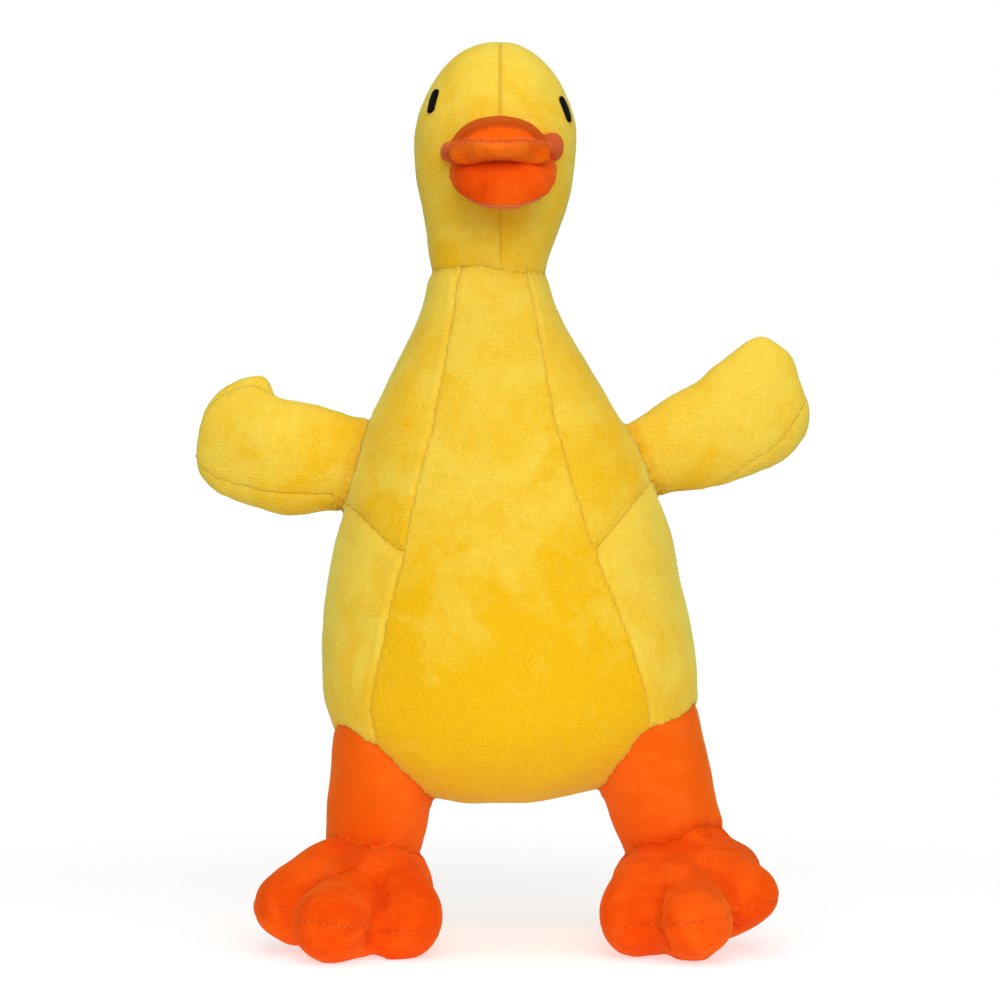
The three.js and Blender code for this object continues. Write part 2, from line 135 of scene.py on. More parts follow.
FLOOR_RADIUS, FADE_FROM, FADE_TO = 1.2, 0.16, 0.42
FLOOR_DROP = 0.0002
PAPER, PAPER_GLOW = (0.62, 0.62, 0.62, 1), 0.56
bm = bmesh.new()
bmesh.ops.create_circle(bm, cap_ends=True, radius=FLOOR_RADIUS, segments=64)
floor = bpy.data.objects.new("floor", bpy.data.meshes.new("floor"))
bm.to_mesh(floor.data)
bm.free()
bpy.context.collection.objects.link(floor)
floor.location.z = -FLOOR_DROP
paper = bpy.data.materials.new("paper")
paper.use_nodes = True
tree = paper.node_tree
tree.nodes.clear()
place = added(tree, "TexCoord").outputs["Object"]
away = added(tree, "VectorMath", {"operation": "LENGTH"}, {0: place}).outputs["Value"]
fade = ranged(tree, away, FADE_FROM, FADE_TO)
matt = added(tree, "BsdfDiffuse", None, {"Color": PAPER}).outputs[0]
glow = added(tree, "Emission", None, {"Strength": PAPER_GLOW}).outputs[0]
both = added(tree, "AddShader", None, {0: matt, 1: glow}).outputs[0]
clear = added(tree, "BsdfTransparent").outputs[0]
faded = added(tree, "MixShader", None, {0: fade, 1: both, 2: clear}).outputs[0]
added(tree, "OutputMaterial", None, {"Surface": faded})
floor.data.materials.append(paper)

# ---- The covers, blown up by their filling.
# The duck is sewn from cut panels of plush into one skin and stuffed, so its skin is made in one piece
# here: copies of the covers are remeshed together, relaxed, and swelled as cloth between their seams.


def remeshed(names, voxel):
    """One closed mesh round copies of the named solids."""
    bm = bmesh.new()
    for name in names:
        bm.from_mesh(frame["nodes"][name].data)
    bmesh.ops.remove_doubles(bm, verts=bm.verts, dist=1e-6)
    copy = bpy.data.objects.new("copy", bpy.data.meshes.new("copy"))
    bm.to_mesh(copy.data)
    bm.free()
    bpy.context.collection.objects.link(copy)
    remesh = copy.modifiers.new("remesh", "REMESH")
    remesh.mode = "VOXEL"
    remesh.voxel_size = voxel
    evaluated = copy.evaluated_get(bpy.context.evaluated_depsgraph_get())
    mesh = bpy.data.meshes.new_from_object(evaluated)
    bpy.data.objects.remove(copy)
    return mesh


def places(mesh):
    """The vertices of a mesh as an array of points."""
    points = np.empty(3 * len(mesh.vertices), np.float64)
    mesh.vertices.foreach_get("co", points)
    return points.reshape(-1, 3)


def relaxed(points, edges, rounds, lift=0.5, keep=None):
    """Smooths the points over the edges and lets them back out, so that facets go and the size stays."""
    count = np.bincount(edges.ravel(), minlength=len(points))[:, None]
    for _ in range(rounds):
        for share in (0.5, -lift):
            total = np.zeros_like(points)
            for axis in range(3):
                total[:, axis] = (
                    np.bincount(edges[:, 0], points[edges[:, 1], axis], len(points))
                    + np.bincount(edges[:, 1], points[edges[:, 0], axis], len(points)))
            step = share * (total / count - points)
            points = points + (step if keep is None else step * keep[:, None])
    return points


def edge_list(mesh):
    edges = np.empty(2 * len(mesh.edges), np.int64)
    mesh.edges.foreach_get("vertices", edges)
    return edges.reshape(-1, 2)


def place_points(mesh, points):
    mesh.vertices.foreach_set("co", points.ravel())
    mesh.update()


def tree_of(names):
    """A search tree over the named solids, and for each of its faces the name of the solid."""
    bm = bmesh.new()
    owner = []
    for name in names:
        before = len(bm.faces)
        bm.from_mesh(frame["nodes"][name].data)
        owner += [name] * (len(bm.faces) - before)
    tree = BVHTree.FromBMesh(bm)
    bm.free()
    return tree, owner


# A seam line is smoothed this many times, out and back in, so that it runs as evenly as a sewn one.
LINE_ROUNDS, LINE_OUT, LINE_IN = 100, 0.5, -0.505


def seamed(mesh, names, shifted=lambda point: point):
    """Gives each face of the mesh the number of its panel, moves the points beside a border between two
    panels onto it, and returns the points that lie on such seams."""
    whole, owner = tree_of(names)
    single = {name: tree_of([name])[0] for name in names}
    bm = bmesh.new()
    bm.from_mesh(mesh)
    bm.verts.ensure_lookup_table()
    label = [owner[whole.find_nearest(shifted(v.co))[2]] for v in bm.verts]

    def further(point, one, two):
        point = shifted(point)
        return single[one].find_nearest(point)[3] - single[two].find_nearest(point)[3]

    moves = {}
    for edge in bm.edges:
        a, b = edge.verts
        one, two = label[a.index], label[b.index]
        if one != two:
            at_a, at_b = further(a.co, one, two), further(b.co, one, two)
            share = min(1, max(0, -at_a / (at_b - at_a))) if at_b > at_a else 0.5
            moves.setdefault((a if share < 0.5 else b).index, []).append(a.co.lerp(b.co, share))
    for index, targets in moves.items():
        bm.verts[index].co = sum(targets, Vector()) / len(targets)
    pairs = []
    for face in bm.faces:
        if len({label[v.index] for v in face.verts if v.index not in moves}) > 1:
            pairs.append([v for v in face.verts if v.index in moves])
    for pair in pairs:
        bmesh.ops.connect_verts(bm, verts=pair)
    panel = bm.faces.layers.int.new("panel")
    for face in bm.faces:
        free = [v for v in face.verts if v.index not in moves]
        name = label[free[0].index] if free else owner[whole.find_nearest(face.calc_center_median())[2]]
        face[panel] = names.index(name)
    seams = [e for e in bm.edges if len({face[panel] for face in e.link_faces}) > 1]
    held = {v.index for edge in seams for v in edge.verts}
    runs = np.array([len({face[panel] for face in v.link_faces}) == 2 for v in bm.verts])[:, None]
    bm.to_mesh(mesh)
    pairs = np.array([[v.index for v in edge.verts] for edge in seams])
    surface = BVHTree.FromBMesh(bm)
    bm.free()
    points = places(mesh)
    line, near = np.unique(pairs, return_inverse=True)
    near = near.reshape(pairs.shape).T
    count = np.bincount(near.ravel())[:, None]
    on_line = points[line]
    for share in (LINE_OUT, LINE_IN) * LINE_ROUNDS:
        total = np.zeros_like(on_line)
        for one, two in (near, near[::-1]):
            for axis in range(3):
                total[:, axis] += np.bincount(one, on_line[two, axis], len(line))
        on_line = on_line + runs[line] * share * (total / count - on_line)
    points[line] = [surface.find_nearest(point)[0] for point in on_line]
    free = np.ones(len(points))
    free[sorted(held)] = 0
    points = relaxed(points, edge_list(mesh), 6, keep=free)
    place_points(mesh, points)
    return held


# Stuffing presses the cloth outwards between the seams, which hold it back: the skin starts this far in, and is
# blown up for this many frames.
START_IN, BLOWN_FRAMES = 0.0002, 20


def swelled(mesh, held, cap):
    """Blows the mesh up as cloth that is held at the given points, and moves no point further than cap."""
    scene = bpy.context.scene
    cloth_object = bpy.data.objects.new("cloth", mesh.copy())
    scene.collection.objects.link(cloth_object)
    cloth_object.vertex_groups.new(name="held").add(sorted(held), 1.0, "REPLACE")
    settings = cloth_object.modifiers.new("cloth", "CLOTH").settings
    settings.quality = 4
    settings.mass = 0.06
    settings.tension_stiffness = 12
    settings.compression_stiffness = 12
    settings.shear_stiffness = 6
    settings.bending_stiffness = 0.8
    settings.use_pressure = True
    settings.uniform_pressure_force = 1500
    settings.vertex_group_mass = "held"
    settings.effector_weights.gravity = 0
    for number in range(1, BLOWN_FRAMES + 1):
        scene.frame_set(number)
    evaluated = cloth_object.evaluated_get(bpy.context.evaluated_depsgraph_get())
    blown = places(evaluated.data)
    scene.frame_set(1)
    bpy.data.objects.remove(cloth_object)
    rest = places(mesh)
    move = relaxed(blown - rest, edge_list(mesh), 2, lift=0)
    length = np.linalg.norm(move, axis=1)[:, None]
    place_points(mesh, rest + move * np.minimum(1, cap / np.maximum(length, 1e-9)))


def outward(mesh):
    """The normals of a mesh's points as an array."""
    normals = np.empty(3 * len(mesh.vertices), np.float32)
    mesh.vertices.foreach_get("normal", normals)
    return normals.reshape(-1, 3).astype(np.float64)


def finer(mesh, levels=1):
    """The mesh as a subdivision surface."""
    whole = bpy.data.objects.new("whole", mesh)
    bpy.context.collection.objects.link(whole)
    subdivision = whole.modifiers.new("subdivision", "SUBSURF")
    subdivision.levels = subdivision.render_levels = levels
    evaluated = whole.evaluated_get(bpy.context.evaluated_depsgraph_get())
    mesh = bpy.data.meshes.new_from_object(evaluated)
    bpy.data.objects.remove(whole)
    return mesh


def pushed(points, pushes):
    """Moves points by soft pushes, each with a centre, a reach and a move, all in millimetres."""
    for centre, reach, move in pushes:
        away = np.sum((points * 1000 - centre) ** 2, axis=1)
        points = points + np.exp(-away / reach**2)[:, None] * np.array(move) / 1000
    return points


def stuffed_skin(names, filling, voxel, rounds, cap, levels, reshaped, shifted=lambda point: point):
    """The sewn and stuffed skin of some covers: remeshed, relaxed, divided into panels, and blown up."""
    skin = remeshed(names + filling, voxel)
    place_points(skin, relaxed(places(skin), edge_list(skin), rounds))
    held = seamed(skin, names, shifted)
    place_points(skin, reshaped(places(skin)))
    place_points(skin, places(skin) - outward(skin) * START_IN)
    swelled(skin, held, cap)
    skin = finer(skin, levels)
    place_points(skin, relaxed(places(skin), edge_list(skin), 6))
    return skin


def seam_lines(mesh, names):
    """Points along the seams, about half a millimetre apart, and the two panels that meet at each."""
    corners = np.empty(len(mesh.loops), np.int64)
    mesh.loops.foreach_get("edge_index", corners)
    sides = np.empty(len(mesh.polygons), np.int64)
    mesh.polygons.foreach_get("loop_total", sides)
    panel = np.empty(len(mesh.polygons), np.int32)
    mesh.attributes["panel"].data.foreach_get("value", panel)
    of_corner = np.repeat(panel, sides)
    low, high = np.full(len(mesh.edges), len(names)), np.full(len(mesh.edges), -1)
    np.minimum.at(low, corners, of_corner)
    np.maximum.at(high, corners, of_corner)
    edges, points = edge_list(mesh), places(mesh)
    found = []
    for index in np.flatnonzero(low != high):
        a, b = points[edges[index]]
        pair = frozenset((names[low[index]], names[high[index]]))
        found += [(a, pair), ((a + b) / 2, pair)]
    return found


def lumpy(mesh, sizes):
    """Pushes the surface in and out by soft lumps, given as pairs of lump size and height."""
    points, normals = places(mesh), outward(mesh)
    push = np.zeros(len(points))
    for index, point in enumerate(points):
        place = Vector(point)
        push[index] = sum(height * noise.noise(place / size) for size, height in sizes)
    place_points(mesh, points + normals * push[:, None])


# A seam draws in the cloth up to SEAM_REACH from it. Its puckers are PUCKER long and fade out over PUCKER_FADE.
# The seam allowance lies under the cloth at ALLOWANCE_AT from the seam, and is about ALLOWANCE_HALF to each side.
SEAM_REACH, PUCKER, PUCKER_FADE = 0.012, 0.0021, 0.0045
ALLOWANCE_AT, ALLOWANCE_HALF = 0.0024, 0.0011


def sewn_in(mesh, names, lines, size_of, ridge=0.0):
    """Draws the cloth in along the seams and paints shade into the cloth close to them. Each line's depth, width,
    gather and share of painted crease shade come from size_of(pair, place). The ridge is the height of the seam
    allowance under the cloth beside the belly seams."""
    tree = kdtree.KDTree(len(lines))
    for index, (point, _) in enumerate(lines):
        tree.insert(point, index)
    tree.balance()
    sizes = [size_of(pair, place) for place, pair in lines]
    panel = np.zeros(len(mesh.polygons), np.int32)
    mesh.attributes["panel"].data.foreach_get("value", panel)
    side = np.zeros(len(mesh.vertices), np.int32)
    corners = np.empty(len(mesh.loops), np.int64)
    mesh.loops.foreach_get("vertex_index", corners)
    sides = np.empty(len(mesh.polygons), np.int64)
    mesh.polygons.foreach_get("loop_total", sides)
    side[corners] = np.repeat(panel, sides)
    points, normals = places(mesh), outward(mesh)
    pull, crease = np.zeros(len(points)), np.zeros(len(points))
    for index, point in enumerate(points):
        seam, nearest, distance = tree.find(point)
        depth, width, gather, shade_share = sizes[nearest]
        if distance > SEAM_REACH:
            continue
        pucker = noise.noise(seam / PUCKER)
        close = math.exp(-((distance / width) ** 2))
        pull[index] = depth * close * (1 + 0.25 * pucker) + gather * math.exp(-distance / PUCKER_FADE) * pucker
        # Painted shade: the cloth close to the seam takes the darker crease colour.
        crease[index] = close * shade_share * (1 + 0.4 * pucker)
        if "belly_panel" in lines[nearest][1] and names[side[index]] != "belly_panel":
            pull[index] -= ridge * math.exp(-(((distance - ALLOWANCE_AT) / ALLOWANCE_HALF) ** 2))
    place_points(mesh, points - normals * pull[:, None])
    painted(mesh, "crease", crease)


def painted(mesh, name, values):
    """Writes a value for each point of a mesh, for its material to read."""
    attribute = mesh.attributes.new(name, "FLOAT", "POINT")
    attribute.data.foreach_set("value", np.asarray(values, np.float32))


def panels_of(mesh, names):
    """Cuts the mesh into one object for each panel."""
    panel = np.empty(len(mesh.polygons), np.int32)
    mesh.attributes["panel"].data.foreach_get("value", panel)
    mesh.polygons.foreach_set("use_smooth", [True] * len(mesh.polygons))
    whole = bpy.data.objects.new("whole", mesh)
    bpy.context.collection.objects.link(whole)
    for name in names:
        mesh.materials.append(bpy.data.materials.new(name))
    mesh.polygons.foreach_set("material_index", panel)
    bpy.ops.object.select_all(action="DESELECT")
    bpy.context.view_layer.objects.active = whole
    whole.select_set(True)
    bpy.ops.object.mode_set(mode="EDIT")
    bpy.ops.mesh.separate(type="MATERIAL")
    bpy.ops.object.mode_set(mode="OBJECT")
    cut = {}
    for piece in list(bpy.context.selected_objects):
        piece.select_set(False)
        piece.data.materials.clear()
        cut[names[piece.data.attributes["panel"].data[0].value]] = piece
    return cut


def cover(piece, name, material, nap=0.0, turn=0.0, thick=0.0018):
    """Finishes a cut panel: its cloth's own place, turned as the panel was laid on the cloth, its nap and painted
    shade, its thickness, its material, and the solid that it stands for."""
    piece.name = piece.data.name = "cloth_" + name
    place = places(piece.data)
    place[:, 0], place[:, 2] = (
        place[:, 0] * math.cos(turn) + place[:, 2] * math.sin(turn),
        place[:, 2] * math.cos(turn) - place[:, 0] * math.sin(turn))
    laid = piece.data.attributes.new("cloth_place", "FLOAT_VECTOR", "POINT")
    laid.data.foreach_set("vector", place.astype(np.float32).ravel())
    painted(piece.data, "nap", np.broadcast_to(nap, len(place)))
    wall = piece.modifiers.new("thickness", "SOLIDIFY")
    wall.thickness = thick
    wall.offset = -1
    piece.data.materials.append(material)
    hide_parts(name)
    return piece


def maths(tree, operation, *terms):
    """The result of a Math node on numbers or sockets."""
    return added(tree, "Math", {"operation": operation}, dict(enumerate(terms))).outputs[0]


def cloud(tree, vector, scale, detail=2.0, roughness=0.5, distortion=0.0):
    """A noise value, from 0 to 1, with lumps of about 1 / scale metres."""
    return added(tree, "TexNoise", None, {
        "Vector": vector, "Scale": scale, "Detail": detail, "Roughness": roughness,
        "Distortion": distortion}).outputs["Fac"]


def blended(tree, share, one, two, kind="MIX"):
    """Two colours mixed by a share."""
    return added(tree, "Mix", {"data_type": "RGBA", "blend_type": kind}, {0: share, 6: one, 7: two}).outputs[2]


# The look of a short brushed pile: patches where the nap lies one way or the other, flecks, short strokes, the
# courses of the knit showing through where it is worn, and painted shade in the creases. The capitals are
# noise scales, in lumps a metre, and the slant keeps the lumps off the duck's own axes.
pile = bpy.data.node_groups.new("pile", "ShaderNodeTree")
for name, kind in (
    ("Deep", "Color"), ("Pale", "Color"), ("Crease", "Color"), ("Rubbed", "Color"),
    ("Patches", "Float"), ("Courses", "Float"), ("Pitch", "Float"), ("Strokes", "Float"),
):
    pile.interface.new_socket(name, in_out="INPUT", socket_type="NodeSocket" + kind)
for name, kind in (("Colour", "Color"), ("Roughness", "Float"), ("Height", "Float")):
    pile.interface.new_socket(name, in_out="OUTPUT", socket_type="NodeSocket" + kind)
given = pile.nodes.new("NodeGroupInput")
result = pile.nodes.new("NodeGroupOutput")
cloth_place = added(pile, "Attribute", {"attribute_name": "cloth_place"}).outputs["Vector"]
crease = added(pile, "Attribute", {"attribute_name": "crease"}).outputs["Fac"]
# The nap attribute also carries painted shade: the dark top of the upper bill flap.
nap = added(pile, "Attribute", {"attribute_name": "nap"}).outputs["Fac"]
rubbed = added(pile, "Attribute", {"attribute_name": "rubbed"}).outputs["Fac"]
PATCH, FLECK, STROKE, BREAK, TWIST, WEAR = 36, 130, 1500, 520, 70, 48
SLANT = (0.5, 0.75, 0.2)
laid = added(pile, "Mapping", None, {"Vector": cloth_place, "Rotation": SLANT}).outputs[0]
patches = ranged(pile, cloud(pile, laid, PATCH, 2.5, 0.55, 0.9), 0.36, 0.66)
flecks = maths(pile, "SUBTRACT", cloud(pile, laid, FLECK, 3.0, 0.6, 0.5), 0.5)
tone = maths(pile, "ADD", maths(pile, "MULTIPLY", patches, given.outputs["Patches"]), nap)
tone = added(pile, "Math", {"operation": "ADD", "use_clamp": True}, {0: tone, 1: maths(
    pile, "MULTIPLY", flecks, 1.3)}).outputs[0]
drift = added(pile, "TexNoise", None, {"Vector": cloth_place, "Scale": TWIST, "Detail": 1.0}).outputs["Color"]
drift = added(pile, "VectorMath", {"operation": "MULTIPLY_ADD"}, {
    0: drift, 1: (0.004, 0.004, 0.004), 2: cloth_place}).outputs[0]
lean = added(pile, "Mapping", None, {
    "Vector": drift, "Rotation": SLANT, "Scale": (1, 1, 0.38)}).outputs[0]
strokes = maths(pile, "SUBTRACT", cloud(pile, lean, STROKE, 2.0, 0.65), 0.5)
height = added(pile, "SeparateXYZ", None, {0: drift}).outputs["Z"]
turns = maths(pile, "MULTIPLY", maths(pile, "DIVIDE", height, given.outputs["Pitch"]), math.tau)
dashes = ranged(pile, cloud(pile, added(pile, "Mapping", None, {
    "Vector": cloth_place, "Scale": (1, 1, 2.5)}).outputs[0], BREAK, 1.0), 0.35, 0.65)
worn = ranged(pile, cloud(pile, cloth_place, WEAR, 1.5), 0.36, 0.58, 0.25, 1.0)
courses = maths(pile, "MULTIPLY", maths(pile, "MULTIPLY", maths(pile, "SINE", turns), dashes), worn)
courses = maths(pile, "MULTIPLY", courses, given.outputs["Courses"])
strokes = maths(pile, "MULTIPLY", strokes, given.outputs["Strokes"])
light = maths(pile, "ADD", maths(pile, "ADD", 1.0, maths(pile, "MULTIPLY", strokes, 0.34)), maths(
    pile, "MULTIPLY", courses, 0.035))
colour = blended(pile, tone, given.outputs["Deep"], given.outputs["Pale"])
colour = blended(pile, rubbed, colour, given.outputs["Rubbed"])
# Painted shade: the darker crease colour is mixed in along the seams and grooves.
colour = blended(pile, crease, colour, given.outputs["Crease"])
shade = added(pile, "CombineXYZ", None, {0: light, 1: light, 2: light}).outputs[0]
colour = blended(pile, 1.0, colour, shade, "MULTIPLY")
pile.links.new(colour, result.inputs["Colour"])
pile.links.new(ranged(pile, strokes, -0.3, 0.3, 0.95, 0.8), result.inputs["Roughness"])
pile.links.new(maths(pile, "ADD", maths(pile, "ADD", strokes, maths(pile, "MULTIPLY", courses, 0.22)), maths(
    pile, "MULTIPLY", flecks, 0.5)), result.inputs["Height"])


def pile_cloth(name, deep, pale, crease, rubbed, sheen, patches=1.0, courses=1.0, pitch=0.0013, strokes=1.0,
               bump=0.32):
    """A cloth with a pile: its colours where the nap lies down and stands up, its painted shade in the seams, its
    colour where it is rubbed, and how strongly it shows its patches, courses and strokes."""
    material = bpy.data.materials.new(name)
    material.use_nodes = True
    tree = material.node_tree
    group = added(tree, "Group", {"node_tree": pile}, {
        "Deep": (*deep, 1), "Pale": (*pale, 1), "Crease": (*crease, 1), "Rubbed": (*rubbed, 1),
        "Patches": patches, "Courses": courses, "Pitch": pitch, "Strokes": strokes})
    raised = added(tree, "Bump", None, {
        "Strength": bump, "Distance": 0.0011, "Height": group.outputs["Height"]})
    cloth = tree.nodes["Principled BSDF"]
    tree.links.new(group.outputs["Colour"], cloth.inputs["Base Color"])
    tree.links.new(group.outputs["Roughness"], cloth.inputs["Roughness"])
    tree.links.new(raised.outputs["Normal"], cloth.inputs["Normal"])
    cloth.inputs["Specular IOR Level"].default_value = 0.05
    cloth.inputs["Sheen Weight"].default_value = 0.5
    cloth.inputs["Sheen Roughness"].default_value = 0.42
    cloth.inputs["Sheen Tint"].default_value = (*sheen, 1)
    return material


# The seam round each wing lies on its front face along the lower edge, where the back panel comes round.
# Pairs of a distance from the middle and a height, in millimetres.
WING_EDGE = {
    "left": ((60, 150), (75, 163), (90, 174.3), (95.3, 176.3), (101.9, 182.5), (106.7, 189.9), (112, 199)),
    "right": ((52, 158), (58.9, 160.8), (73.3, 162.2), (87, 163.3), (94.9, 164.4), (103.9, 166.5), (112, 172)),
}


# How far from the middle each wing's own cloth starts, above which height, and how far the back panel comes round.
WING_ROOT, RIGHT_ROOT, RIGHT_ROOT_FOOT, WING_FOOT, TURNED_ROUND = 0.0615, 0.0565, 0.1575, 0.148, 0.011
# The left ankle's seam rises towards the outside, from one place across to the next.
LEFT_ANKLE = ((0.043, 0.056, 0.066, 0.079), (0, 0.0015, 0.0028, 0.0055))
LEFT_ANKLE_FOOT, LEFT_ANKLE_TOP = (0.022, 0.030), (0.050, 0.058)


def to_seams(point):
    """Where a point of the skin is looked up, so that the seams lie where they show."""
    place = point.copy()
    side = "left" if point.x > 0 else "right"
    root = RIGHT_ROOT if side == "right" and point.z > RIGHT_ROOT_FOOT else WING_ROOT
    if root < abs(point.x) and point.z > WING_FOOT:
        edge = np.interp(abs(point.x) * 1000, *zip(*WING_EDGE[side])) / 1000
        below = min(TURNED_ROUND, 4 * max(0.0, edge + 0.0015 - point.z))
        place.y += below * min(1.0, (abs(point.x) - root) / 0.004)
    if point.x > 0 and point.z < LEFT_ANKLE_TOP[1]:
        ankle = np.interp(point.x, *LEFT_ANKLE)
        place.z -= np.interp(point.z, LEFT_ANKLE_FOOT + LEFT_ANKLE_TOP, (0.002, ankle, ankle, 0))
    if 0.22 < point.z < 0.26:
        place.z += 0.0012 * math.sin(point.x * 1000 / 9.5) + 0.0007 * math.sin(point.x * 1000 / 4.1 + 1.0)
    return place


# Where the stuffing pushes the covers further out than the plain solids, at the wing tips, ankles and toes: the
# centre, reach and move of each push, in millimetres.
PUSHES = (
    ((93, 0, 214), 9, (1.0, 0, 5.4)),
    ((102, 0, 208), 8, (2.4, 0, 2.4)),
    ((79, 0, 212), 7, (0, 0, -1.6)),
    ((62, 0, 193), 10, (0, 0, 1.2)),
    ((-66, 0, 195), 9, (0, 0, 1.4)),
    ((-76, 0, 155), 12, (0, 0, -1.4)),
    ((69, 0, 86), 7, (2.0, 0, 0)),
    ((108, 0, 180), 12, (-1.2, 0, 1.2)),
    ((72, 0, 161), 14, (0, 0, -2.5)),
    ((-108, 0, 186), 8, (-0.3, 0, 1.2)),
    ((-87, 0, 203), 6, (1.5, 0, 2.8)),
    ((77, -8, 39), 8, (1.5, 0, 2.0)),
    ((83, -12, 35), 6, (3.5, 0, 1.0)),
    ((84, -14, 30), 9, (5.0, 0, 2.0)),
    ((91, -16, 27), 6, (3.5, 0, 2.0)),
    ((68, -54, 2), 13, (0, 0, 2.0)),
    ((-76, -18, 32), 8, (-0.8, 0, -0.5)),
    ((-72, -47, 14), 6, (1.8, 0, 0)),
    ((-26, -10, 21), 7, (1.0, 0, 0)),
    ((-72, -34, 6), 8, (0, -1.0, -3.0)),
    ((-42, -45, 6), 7, (0, -3.0, -4.0)),
    ((66, -45, 6), 7, (0, -2.0, -2.5)),
)
LUMPS = ((0.017, 0.0006), (0.007, 0.00015), (0.004, 0.00006))
COVERS = [name for name in frame["nodes"] if not name.startswith(("bill", "eye")) and "filling" not in name]
FILLINGS = [name for name in frame["nodes"] if not name.startswith("bill") and "filling" in name]
skin = stuffed_skin(
    COVERS, FILLINGS, voxel=0.002, rounds=60, cap=0.0016, levels=1,
    reshaped=lambda points: pushed(points, PUSHES), shifted=to_seams)
lumpy(skin, LUMPS)

# The three toes are drawn in by a hand stitch up each side of the middle toe. Each groove is a line on the
# foot as it is seen from the front, x and z in millimetres at the middle of the duck.
TOE_GROOVES = (
    ((-56.0, 26.5), (-65.4, 22.9), (-71.5, 18.8)),
    ((-44.5, 21.1), (-44.1, 14.2), (-45.9, 8.5), (-48.1, 3.8), (-48.4, -2.0)),
    ((57.0, 18.9), (55.6, 12.4), (55.9, 4.9), (58.5, -2.0)),
    ((71.8, 26.8), (80.4, 19.6), (82.9, 11.7), (83.3, 4.5)),
)


def tree_of_mesh(mesh):
    bm = bmesh.new()
    bm.from_mesh(mesh)
    tree = BVHTree.FromBMesh(bm)
    bm.free()
    return tree


def seen(tree, x, z):
    """The point and outward direction of the surface that shows at a place of the front view, given in
    millimetres at the middle of the duck."""
    eye = camera.location
    point, normal, _, _ = tree.ray_cast(eye, (Vector((x / 1000, 0, z / 1000)) - eye).normalized())
    return point, normal


surface = tree_of_mesh(skin)
lines = seam_lines(skin, COVERS)
for groove in TOE_GROOVES:
    for (x0, z0), (x1, z1) in zip(groove, groove[1:]):
        for step in np.linspace(0, 1, 16):
            point, _ = seen(surface, x0 + (x1 - x0) * step, z0 + (z1 - z0) * step)
            if point:
                lines.append((np.array(point), "toe groove"))


def seam_size(pair, place):
    """A seam's depth, width and gather, and how strongly painted shade darkens its crease."""
    if pair == "toe groove":
        return 0.0017, 0.0021, 0.00003, 0.35
    words = {name.split("_")[0] for name in pair}
    if "wing" in words:
        return (0.0003, 0.0012, 0.00004, 0.1) if len(words) == 1 else (0.0015, 0.0021, 0.00025, 0.35)
    if "head" in words:
        if len(words) > 1:
            return 0.0007, 0.0022, 0.0001, 0.15
        return (0.0003, 0.0009, 0.0, 0.25) if place[2] > 0.29 or place[1] > 0 else (0.0001, 0.0015, 0.0, 0.0)
    if "leg" in words:
        return (0.0010, 0.0016, 0.0, 0.15) if "foot" in words else (0.0007, 0.0015, 0.0, 0.1)
    if words == {"foot"}:
        return 0.00025, 0.0010, 0.00002, 0.03
    if words == {"chest", "hip"}:
        return 0.0005, 0.0028, 0.0, 0.12
    return 0.0002, 0.0010, 0.00002, 0.12


sewn_in(skin, COVERS, lines, seam_size, ridge=0.00025)

# The duck's weight presses its soles flat where it stands.
SOLE_GIVE, SOLE_DEPTH = 0.0006, 0.003
standing = places(skin)
standing[:, 2] -= SOLE_GIVE * np.exp(-standing[:, 2] / SOLE_DEPTH)
standing[:, 2] = np.maximum(standing[:, 2], 0)
place_points(skin, standing)
surface = tree_of_mesh(skin)
seams = seam_lines(skin, COVERS)
cut = panels_of(skin, COVERS)


# ---- The torso: a belly strip from neck to crotch, chest and hip panels beside it, two back panels and a short
# two-panel tail, cut from short-pile yellow plush and sewn with the right sides together, then turned.
YELLOW_DEEP, YELLOW_PALE = (0.88, 0.50, 0.006), (0.90, 0.64, 0.065)
# The crease colour is painted shade in the seams and grooves.
YELLOW_CREASE_SHADE, YELLOW_RUBBED = (0.72, 0.32, 0.01), (0.80, 0.66, 0.28)
yellow_plush = pile_cloth(
    "yellow_plush", YELLOW_DEEP, YELLOW_PALE, YELLOW_CREASE_SHADE, YELLOW_RUBBED, sheen=(0.6, 0.95, 0.35), patches=0.6)
LIMBS = {}


def hung(piece, name):
    """Fixes a piece of a cover or a filling in place: a piece of the torso, the head or a limb keeps its place,
    and any other piece goes with the body of its solid.
    """
    first, side = name.split("_")[0], name.rsplit("_", 1)[1]
    limb = first + "_" + side
    if first in ("belly", "chest", "back", "head", "torso"):
        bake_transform(piece)
    elif limb in LIMBS:
        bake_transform(piece)
    else:
        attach(piece, frame["nodes"][name]["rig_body"])


# The pile is drawn paler towards the top of the duck and deeper towards the bottom, by NAP_RISE a metre from the
# height NAP_LEVEL.
NAP_RISE, NAP_LEVEL = 5, 0.15


def paler_upwards(piece, lie):
    """How pale the pile of a panel is drawn at each of its points, paler higher up."""
    return lie + NAP_RISE * (places(piece.data)[:, 2] - NAP_LEVEL)


# How the nap of each panel lies against its neighbours', and how far the panel was turned on the cloth. The pile
# of the belly is brushed down below its middle.
NAP = {"belly": (0.2, 0.0), "chest": (0.1, 0.12), "hip": (0.7, -0.1), "back": (0.0, 0.0), "tail": (0.0, 0.0)}
BRUSHED, BRUSHED_EDGE = 0.132, 0.024
for name, piece in cut.items():
    first = name.split("_")[0]
    if first in NAP:
        lie, turn = NAP[first]
        nap_lie = paler_upwards(piece, lie)
        if first == "belly":
            across, _, up = places(piece.data).T
            nap_lie -= 0.3 * np.clip((BRUSHED - up + 0.004 * np.sin(across * 130)) / BRUSHED_EDGE, 0, 1)
        cover(piece, name, yellow_plush, nap_lie, turn if name.endswith("left") else -turn)
        hung(piece, name)

